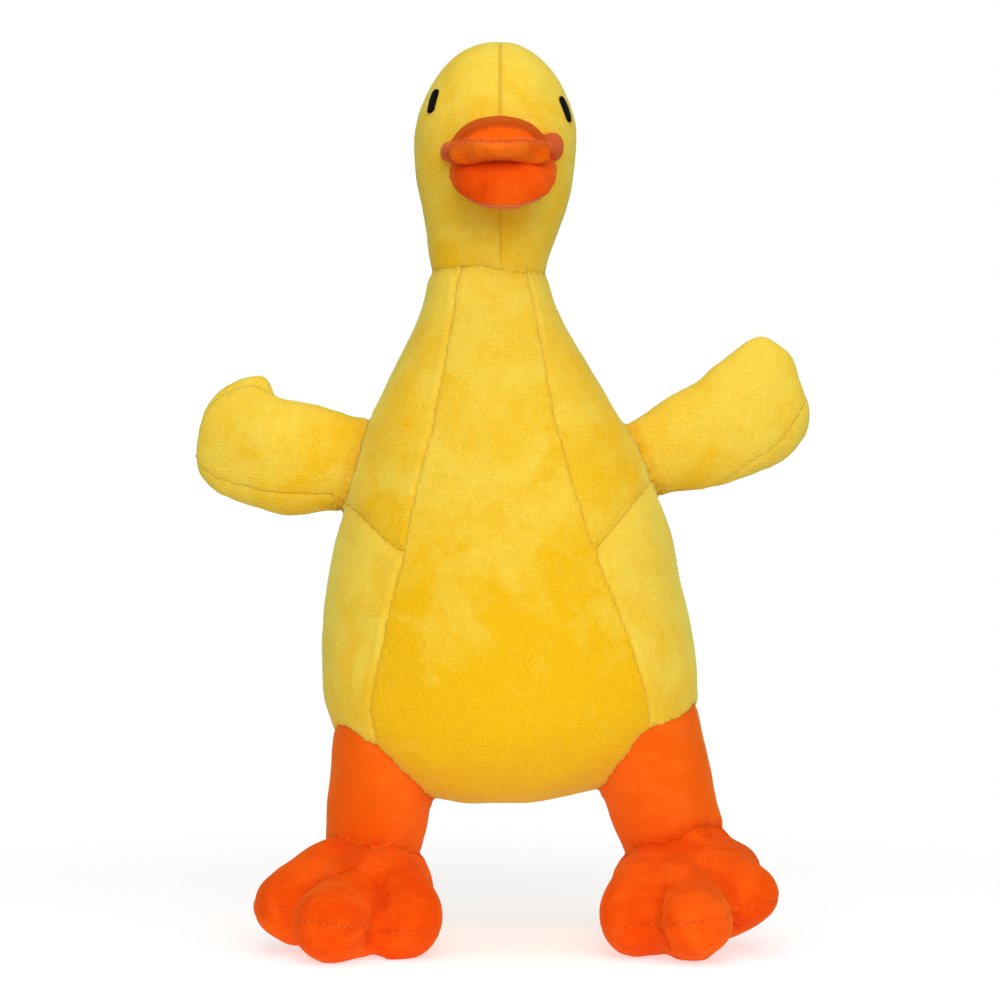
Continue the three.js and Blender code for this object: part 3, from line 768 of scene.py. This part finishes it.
# ---- The head: two deep panels of the same plush that meet in a seam down the face and over the crown. They
# were laid on the cloth at different angles, so their courses run differently.
for side, turn in (("left", 0.25), ("right", 1.05)):
    name = "head_panel_" + side
    cover(cut[name], name, yellow_plush, paler_upwards(cut[name], -0.3), turn)
    hung(cut[name], name)

# ---- The wings: a front and a back panel of yellow plush each, sewn round the edge, stuffed lightly and set into
# the side seam. Their pile is drawn paler towards their tips. LIMBS keeps the stretch from each wing's root seam out
# to WING_BEND beyond it.
WING_BEND = 0.024
TIP_RISE, TIP_FROM, TIP_LONG = 13, 0.07, 0.05


def reaches(part, side, others, along):
    """How far along a direction the seams between a limb's covers and some others lie."""
    return [
        Vector(point).dot(along) for point, pair in seams
        if any(name.startswith(part) and name.endswith(side) for name in pair)
        and any(name.startswith(others) for name in pair)]


for side, out in (("left", 1), ("right", -1)):
    away = Vector((0.95 * out, 0, 0.312))
    root = max(reaches("wing", side, ("chest", "hip", "back_panel"), away))
    LIMBS["wing_" + side] = ("torso", root * away, (root + WING_BEND) * away)
    for name in ("wing_front_" + side, "wing_back_" + side):
        piece = cut[name]
        nap_lie = paler_upwards(piece, 0.1)
        # The pile is drawn paler towards the wing's tip.
        nap_lie += TIP_RISE * np.clip(np.abs(places(piece.data)[:, 0]) - TIP_FROM, 0, TIP_LONG)
        cover(piece, name, yellow_plush, nap_lie, 0.1 * out)
        hung(piece, name)

# ---- The legs: one piece of smooth orange fleece each, rolled into a tube, stuffed and sewn into the bottom of
# the torso. LIMBS keeps the stretch from each leg's seam out to LEG_BEND beyond it, and no nearer to the ankle than
# ANKLE_KEPT.
ORANGE_DEEP, ORANGE_PALE = (0.80, 0.065, 0.0008), (0.92, 0.105, 0.004)
# The orange crease colours, and the fleece's third colour below, are painted shade in the seams and grooves.
ORANGE_CREASE_SHADE, ORANGE_RUBBED = (0.55, 0.035, 0.001), (0.80, 0.24, 0.10)
orange_fleece = pile_cloth(
    "orange_fleece", (0.88, 0.115, 0.002), (0.93, 0.145, 0.008), (0.70, 0.06, 0.002), ORANGE_RUBBED,
    sheen=(1.0, 0.38, 0.08), patches=0.8, courses=0.7, pitch=0.0021, strokes=0.5, bump=0.3)
LEG_BEND, ANKLE_KEPT = 0.018, 0.0005
for side, out in (("left", 1), ("right", -1)):
    away = Vector((0.556 * out, 0, -0.831))
    root = max(reaches("leg", side, ("belly", "hip", "back_panel"), away))
    ankle = min(reaches("foot_upper", side, "leg", away))
    LIMBS["leg_" + side] = ("torso", root * away, min(root + LEG_BEND, ankle - ANKLE_KEPT) * away)
    name = "leg_sleeve_" + side
    cover(cut[name], name, orange_fleece)
    hung(cut[name], name)

# ---- The feet: an upper and a sole of orange plush each, with three plump toes, sewn round the toes and on to
# the leg. LIMBS keeps the stretch from each foot's ankle seam out to FOOT_BEND beyond it.
orange_plush = pile_cloth(
    "orange_plush", ORANGE_DEEP, ORANGE_PALE, ORANGE_CREASE_SHADE, ORANGE_RUBBED, sheen=(1.0, 0.33, 0.04))
FOOT_BEND = 0.010
for side in ("left", "right"):
    away = Vector((0, -0.25, -0.968))
    ankle = max(reaches("foot_upper", side, "leg", away))
    LIMBS["foot_" + side] = ("leg_" + side, ankle * away, (ankle + FOOT_BEND) * away)
    for name in ("foot_upper_" + side, "foot_sole_" + side):
        cover(cut[name], name, orange_plush)
        hung(cut[name], name)

# ---- The bill: two flaps of orange plush, each sewn from two shaped panels and lightly stuffed, set into
# the face. The lining of the upper flap rolls out below its lip, and the corners puff out at the cheeks.
# The top of the upper flap has a dark deep colour that is painted shade on its upper part; its pale colour is the
# orange of its lower part.
bill_top_plush = pile_cloth(
    "bill_top_plush", (0.56, 0.055, 0.001), (0.95, 0.115, 0.002), ORANGE_CREASE_SHADE, ORANGE_RUBBED,
    sheen=(1.0, 0.33, 0.04), bump=0.3)
# The upper flap's lining is a lighter orange than the same plush elsewhere: painted light on its roll below the lip.
bill_lining_plush = pile_cloth(
    "bill_lining_plush", (0.93, 0.12, 0.001), (0.98, 0.18, 0.008), ORANGE_CREASE_SHADE, ORANGE_RUBBED,
    sheen=(1.0, 0.33, 0.04), bump=0.3)
bill_under_plush = pile_cloth(
    "bill_under_plush", (0.80, 0.12, 0.02), (0.86, 0.20, 0.06), ORANGE_CREASE_SHADE, ORANGE_RUBBED,
    sheen=(1.0, 0.45, 0.2), bump=0.3)
BILL = {
    "upper": (("bill_upper_top", bill_top_plush), ("bill_upper_lining", bill_lining_plush)),
    "lower": (("bill_lower_lining", orange_plush), ("bill_lower_underside", bill_under_plush)),
}
# The pile is worn pale at the corners of the mouth and a little along the upper lip, over these widths.
BILL_CORNERS = ((-0.0192, -0.0249, 0.281), (0.017, -0.0254, 0.2827))
CORNER_WORN, LIP_WORN = 0.0045, 0.0011
# Above this height the upper flap's top is painted in its dark deep colour, as painted shade, and below it in its
# pale colour.
TOP_SHADE_LINE = 0.2863


def rolled_lip(points):
    """The upper flap's lining rolls forward below its lip, to face the front."""
    low = np.clip((0.2828 - points[:, 2]) / 0.0045, 0, 1) * np.clip((-0.028 - points[:, 1]) / 0.010, 0, 1)
    points[:, 1] -= 0.0042 * low
    return pushed(points, (
        ((-16, -41, 278), 5.5, (-2.0, -2, -3.2)), ((13, -41, 278), 5.5, (3.0, -2, -3.2)),
        ((-1.5, -46, 276), 7, (0, 0, 1.8))))


def full_lip(points):
    """The lower flap stands against the upper one, and hangs a little to the left."""
    points[:, 2] += 0.0036 * np.clip((points[:, 2] - 0.266) / 0.008, 0, 1)
    points[:, 0] = 0.0016 + points[:, 0] * (1.02 - 0.07 * np.clip((0.268 - points[:, 2]) / 0.008, 0, 1))
    raised = np.clip((points[:, 2] - 0.262) / 0.010, 0, 1)
    points[:, 1] -= (0.0015 + 0.0025 * raised) * np.clip((-0.03 - points[:, 1]) / 0.01, 0, 1)
    return points


BILL_SHAPE = {"upper": rolled_lip, "lower": full_lip}


def lip_size(pair, place):
    """The lips stand out a little along their seam."""
    return -0.0004, 0.0009, 0.0003, 0.0


def rooted(mesh, tree, reach):
    """Sinks the edge of a flap that lies against the head into it, as far as it is sewn in."""
    points = places(mesh)
    for index, point in enumerate(points):
        on, normal, _, _ = tree.find_nearest(point)
        above = (Vector(point) - on).dot(normal)
        if above < reach:
            points[index] = Vector(point) - normal * (reach - above) * 2
    place_points(mesh, points)


lips = {}
for flap, panels in BILL.items():
    names = [name for name, _ in panels]
    flap_skin = stuffed_skin(
        names, ["bill_" + flap + "_filling"], voxel=0.0011, rounds=10, cap=0.0012, levels=1,
        reshaped=BILL_SHAPE[flap])
    lumpy(flap_skin, ((0.006, 0.0002), (0.0018, 0.00008)))
    rooted(flap_skin, surface, 0.0035)
    sewn_in(flap_skin, names, seam_lines(flap_skin, names), lip_size)
    lips[flap] = (seam_lines(flap_skin, names), tree_of_mesh(flap_skin))
    flap_cut = panels_of(flap_skin, names)
    seam_points = [Vector(point) for point, _ in lips[flap][0] if point[1] < -0.03]
    for name, material in panels:
        across, _, up = places(flap_cut[name].data).T
        # Painted shade: the upper flap's top takes its dark deep colour above the line, and its pale colour below it.
        top_shade = (TOP_SHADE_LINE - 25 * across**2 - up) / 0.0030 if name == "bill_upper_top" else 0
        piece = cover(flap_cut[name], name, material, nap=top_shade, thick=0.0012)
        worn = []
        for point in map(Vector, places(piece.data)):
            corner = min((point - Vector(corner)).length for corner in BILL_CORNERS) / CORNER_WORN
            lip = min((point - on_lip).length for on_lip in seam_points) / LIP_WORN
            worn.append(min(1, 1.2 * math.exp(-(corner**2)) + 0.2 * math.exp(-(lip**2))))
        painted(piece.data, "rubbed", np.array(worn) * (flap == "upper"))
        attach(piece, "head")


def sewing_thread(name, colour):
    """A polyester thread with its ply showing as light and dark."""
    material = bpy.data.materials.new(name)
    material.use_nodes = True
    tree = material.node_tree
    place = added(tree, "TexCoord").outputs["Object"]
    ply = cloud(tree, place, 2500, 2.0)
    tree.links.new(
        blended(tree, ply, (*(0.8 * value for value in colour), 1), (*(min(1, 1.15 * value) for value in colour), 1)),
        tree.nodes["Principled BSDF"].inputs["Base Color"])
    tree.links.new(ranged(tree, ply, 0.3, 0.7, 0.5, 0.75), tree.nodes["Principled BSDF"].inputs["Roughness"])
    return material


# The pile along the upper lip stands up in small tufts.
lip_pile = sewing_thread("lip_pile", (0.93, 0.19, 0.02))
chance = random.Random(7)
bm = bmesh.new()
lip_seam, lip_surface = lips["upper"]
for point, _ in lip_seam:
    if point[1] > -0.03:
        continue
    for _ in range(3):
        foot = Vector(point) + Vector([chance.uniform(-0.0005, 0.0005) for _ in range(3)])
        on, normal, _, _ = lip_surface.find_nearest(foot)
        tall = chance.uniform(0.0006, 0.0012)
        lean = (normal + Vector((chance.uniform(-0.5, 0.5), -0.2, 0.55))).normalized()
        bmesh.ops.create_cone(
            bm, cap_ends=True, segments=3, radius1=0.00017, radius2=0.00002, depth=tall,
            matrix=Matrix.Translation(on + lean * tall * 0.35) @ lean.to_track_quat("Z", "Y").to_matrix().to_4x4())
tufts = bpy.data.objects.new("lip_tufts", bpy.data.meshes.new("lip_tufts"))
bm.to_mesh(tufts.data)
bm.free()
bpy.context.collection.objects.link(tufts)
tufts.data.materials.append(lip_pile)
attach(tufts, "head")

# ---- The eyes: slim slanted ovals of satin stitch in black thread, worked through the plush of the face.
# Each has its middle in the front view, its lean and height there, half its length and half its width.
EYES = {"right": ((-25.4, 302.1), (1.05, 4.2), 4.8, 2.4), "left": ((22.4, 299.3), (-1.6, 4.4), 4.9, 2.8)}
THREADS = 22
black_thread = bpy.data.materials.new("black_thread")
black_thread.use_nodes = True
tree = black_thread.node_tree
thread = tree.nodes["Principled BSDF"]
place = added(tree, "TexCoord").outputs["Object"]
tree.links.new(blended(tree, cloud(tree, place, 1800, 2.0), (0.0008, 0.0007, 0.0008, 1), (0.005, 0.004, 0.005, 1)),
               thread.inputs["Base Color"])
tree.links.new(ranged(tree, cloud(tree, place, 2600, 1.0), 0.3, 0.7, 0.5, 0.75), thread.inputs["Roughness"])
thread.inputs["Specular IOR Level"].default_value = 0.06
tree.links.new(added(tree, "Bump", None, {
    "Strength": 0.3, "Distance": 0.0002, "Height": cloud(tree, place, 4000, 2.0)}).outputs["Normal"],
    thread.inputs["Normal"])
for side, ((x, z), (lean, tall), length, half) in EYES.items():
    bm = bmesh.new()
    middle, facing = seen(surface, x, z)
    long_way = Vector((lean, -(lean * facing.x + tall * facing.z) / facing.y, tall)).normalized()
    short_way = facing.cross(long_way)

    def worked(points, at, across_by, along_by, height_by):
        """Lays a ball's points on the face as a flat tuft: places across, along and above it in millimetres."""
        for v in points:
            flat = middle + (short_way * v.co.x * across_by + long_way * (at + v.co.z * along_by)) / 1000
            point, normal, _, _ = surface.find_nearest(flat)
            v.co = point + normal * (height_by * (v.co.y + 0.5) + 0.25 * (1 - v.co.x**2)) / 1000

    made = bmesh.ops.create_uvsphere(bm, u_segments=20, v_segments=10, radius=1)
    worked(made["verts"], 0, half * 0.9, length * 0.95, 0.3)
    for number in range(THREADS):
        up = -1 + 2 * (number + 0.5) / THREADS
        wide = half * (1 - up**4 * 0.9) ** 0.5 + 0.6 * noise.noise(Vector((number * 1.7, half, 0)))
        made = bmesh.ops.create_uvsphere(bm, u_segments=6, v_segments=6, radius=1)
        for v in made["verts"]:
            v.co = Vector((v.co.z, v.co.y, v.co.x))
        worked(made["verts"], up * length, wide, 0.24, 0.42)
    bmesh.ops.recalc_face_normals(bm, faces=bm.faces)
    eye = bpy.data.objects.new("embroidered_eye_" + side, bpy.data.meshes.new("embroidered_eye_" + side))
    bm.to_mesh(eye.data)
    bm.free()
    bpy.context.collection.objects.link(eye)
    eye.data.polygons.foreach_set("use_smooth", [True] * len(eye.data.polygons))
    eye.data.materials.append(black_thread)
    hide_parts("eye_" + side)
    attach(eye, "head")


# ---- The seams' stitches: machine stitches of polyester thread that show in the belly, head and sole seams,
# about 2.7 mm apart, half sunk in the pile.
golden_thread = sewing_thread("golden_thread", (0.88, 0.46, 0.025))
brown_thread = sewing_thread("brown_thread", (0.78, 0.46, 0.03))
orange_thread = sewing_thread("orange_thread", (0.92, 0.15, 0.02))
STITCH_PITCH, STITCH_HALF, STITCH_THICK, STITCH_SUNK = 0.0027, 0.0008, 0.00017, 0.00006
ROUTE_BREAK = 0.004


def stitched(name, route, material):
    """A row of stitches along a route of points on the skin."""
    bm = bmesh.new()
    gone = STITCH_PITCH / 2
    for a, b in zip(route, route[1:]):
        step = (b - a).length
        if step > ROUTE_BREAK:
            continue
        gone += step
        if gone < STITCH_PITCH:
            continue
        gone -= STITCH_PITCH
        on, normal, _, _ = surface.find_nearest(b)
        ahead = (b - a - (b - a).dot(normal) * normal).normalized()
        turn = Matrix((normal.cross(ahead), normal, ahead)).transposed().to_4x4()
        size = Matrix.Diagonal((STITCH_THICK, STITCH_THICK, STITCH_HALF, 1))
        sunk = Matrix.Translation(on - STITCH_SUNK * normal)
        bmesh.ops.create_uvsphere(bm, u_segments=6, v_segments=4, radius=1, matrix=sunk @ turn @ size)
    piece = bpy.data.objects.new(name, bpy.data.meshes.new(name))
    bm.to_mesh(piece.data)
    bm.free()
    bpy.context.collection.objects.link(piece)
    piece.data.polygons.foreach_set("use_smooth", [True] * len(piece.data.polygons))
    piece.data.materials.append(material)
    return piece


def along_seam(pairs, key):
    """The points of some seams in order, thinned so that they follow one line."""
    found = sorted((Vector(point) for point, pair in seams if pair in pairs), key=key)
    return [sum(found[at:at + 3], Vector()) / 3 for at in range(0, len(found) - 3, 2)]


for side in ("left", "right"):
    pairs = [frozenset(("belly_panel", panel + side)) for panel in ("chest_panel_", "hip_panel_")]
    row = stitched("stitches_belly_" + side, along_seam(pairs, lambda point: point.z), golden_thread)
    hung(row, "belly_panel")
    middle = sum(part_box("foot_sole_" + side), Vector()) / 2
    sole = along_seam(
        [frozenset(("foot_upper_" + side, "foot_sole_" + side))],
        lambda point: math.atan2(point.y - middle.y, point.x - middle.x))
    row = stitched("stitches_sole_" + side, sole, orange_thread)
    hung(row, "foot_sole_" + side)
crown = along_seam(
    [frozenset(("head_panel_left", "head_panel_right"))],
    lambda point: math.atan2(point.y + 0.002, point.z - 0.28))
crown = [point for point in crown if point.z > 0.292 or point.y > 0]
row = stitched("stitches_head", crown, brown_thread)
hung(row, "head_panel_left")

# ---- The filling: loose crimped polyester fibre, pressed into each cover by hand until it is firm. It
# lies in soft lumps against the cloth.
fibre = bpy.data.materials.new("fibre_filling")
fibre.use_nodes = True
tree = fibre.node_tree
place = added(tree, "TexCoord").outputs["Object"]
crimp = cloud(tree, place, 420, 4.0, 0.7, 3.0)
tree.links.new(blended(tree, crimp, (0.80, 0.79, 0.76, 1), (0.93, 0.92, 0.90, 1)),
               tree.nodes["Principled BSDF"].inputs["Base Color"])
tree.links.new(ranged(tree, crimp, 0.2, 0.8, 0.95, 0.8), tree.nodes["Principled BSDF"].inputs["Roughness"])
tree.links.new(added(tree, "Bump", None, {"Strength": 0.7, "Distance": 0.001, "Height": crimp}).outputs["Normal"],
               tree.nodes["Principled BSDF"].inputs["Normal"])
# How far each wad stays inside its solid: a foot's has room to bend in.
SLACK = {"bill": 0.0004, "foot": 0.0030}
for name in [name for name in frame["nodes"] if "filling" in name]:
    first = name.split("_")[0]
    small = first == "bill"
    wad = remeshed([name], 0.0014 if small else 0.0032)
    place_points(wad, relaxed(places(wad), edge_list(wad), 10))
    place_points(wad, places(wad) - outward(wad) * SLACK.get(first, 0.0008))
    lumpy(wad, ((0.004, 0.0003),) if small else ((0.012, 0.0009), (0.005, 0.0005)))
    piece = bpy.data.objects.new("wad_" + name, wad)
    bpy.context.collection.objects.link(piece)
    wad.polygons.foreach_set("use_smooth", [True] * len(wad.polygons))
    wad.materials.append(fibre)
    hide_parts(name)
    hung(piece, name)
